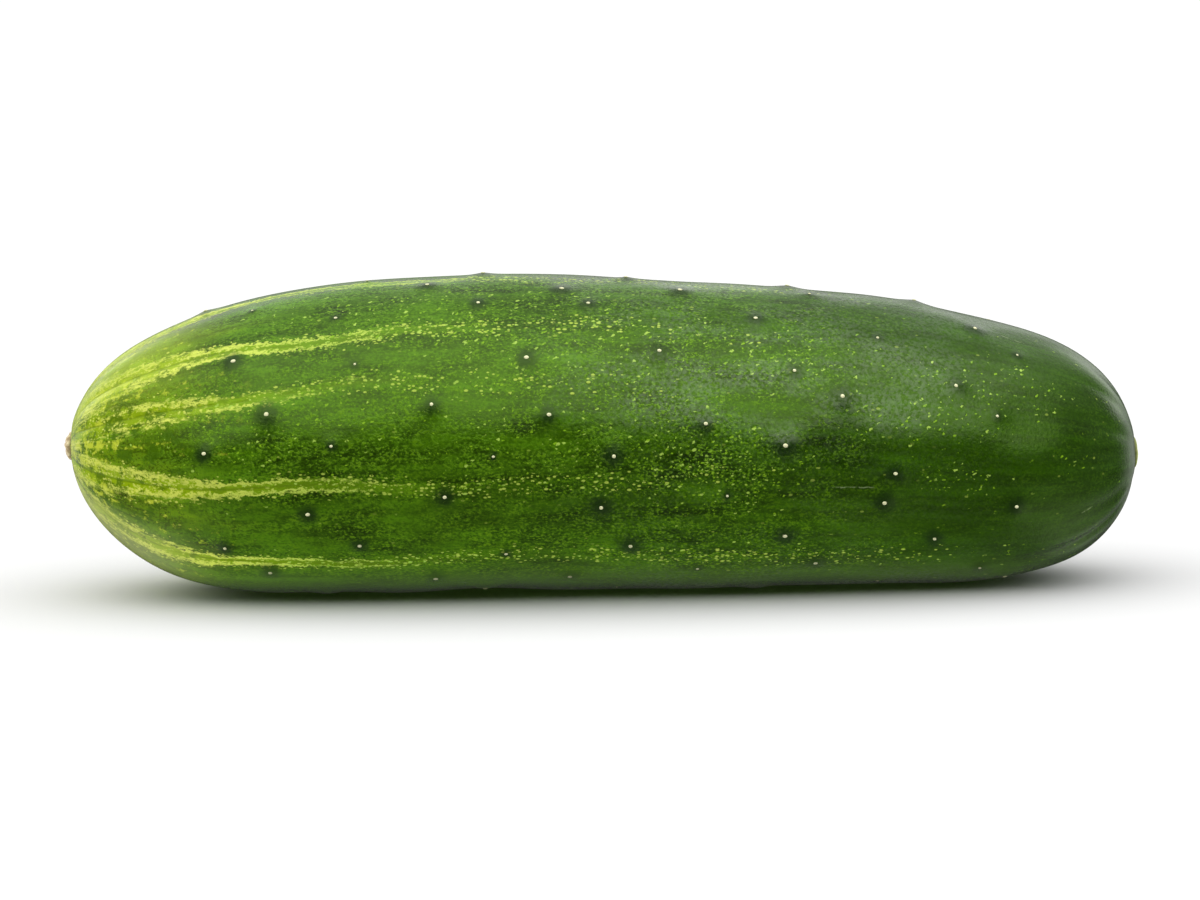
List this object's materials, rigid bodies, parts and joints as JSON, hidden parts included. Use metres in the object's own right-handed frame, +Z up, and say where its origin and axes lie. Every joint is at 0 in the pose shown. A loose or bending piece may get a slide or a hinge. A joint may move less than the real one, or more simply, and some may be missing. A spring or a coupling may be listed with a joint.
{
  "type": "cucumber",
  "caption": "Whole fresh slicing cucumber with dark green warty skin, pale broken stripes at the blossom end, a corky blossom scar and a stem scar, lying on its belly.",
  "frame": {"origin": "middle of the footprint, on the surface that the cucumber rests on", "axes": "+X along the fruit towards its stem end, -X towards its blossom end, +Z up"},
  "size_m": [0.19, 0.0552, 0.0555],
  "materials": {
    "skin": "waxy satin",
    "scar": "dry corky matte"
  },
  "bodies": {
    "root": {"cucumber": "skin"}
  },
  "joints": []
}
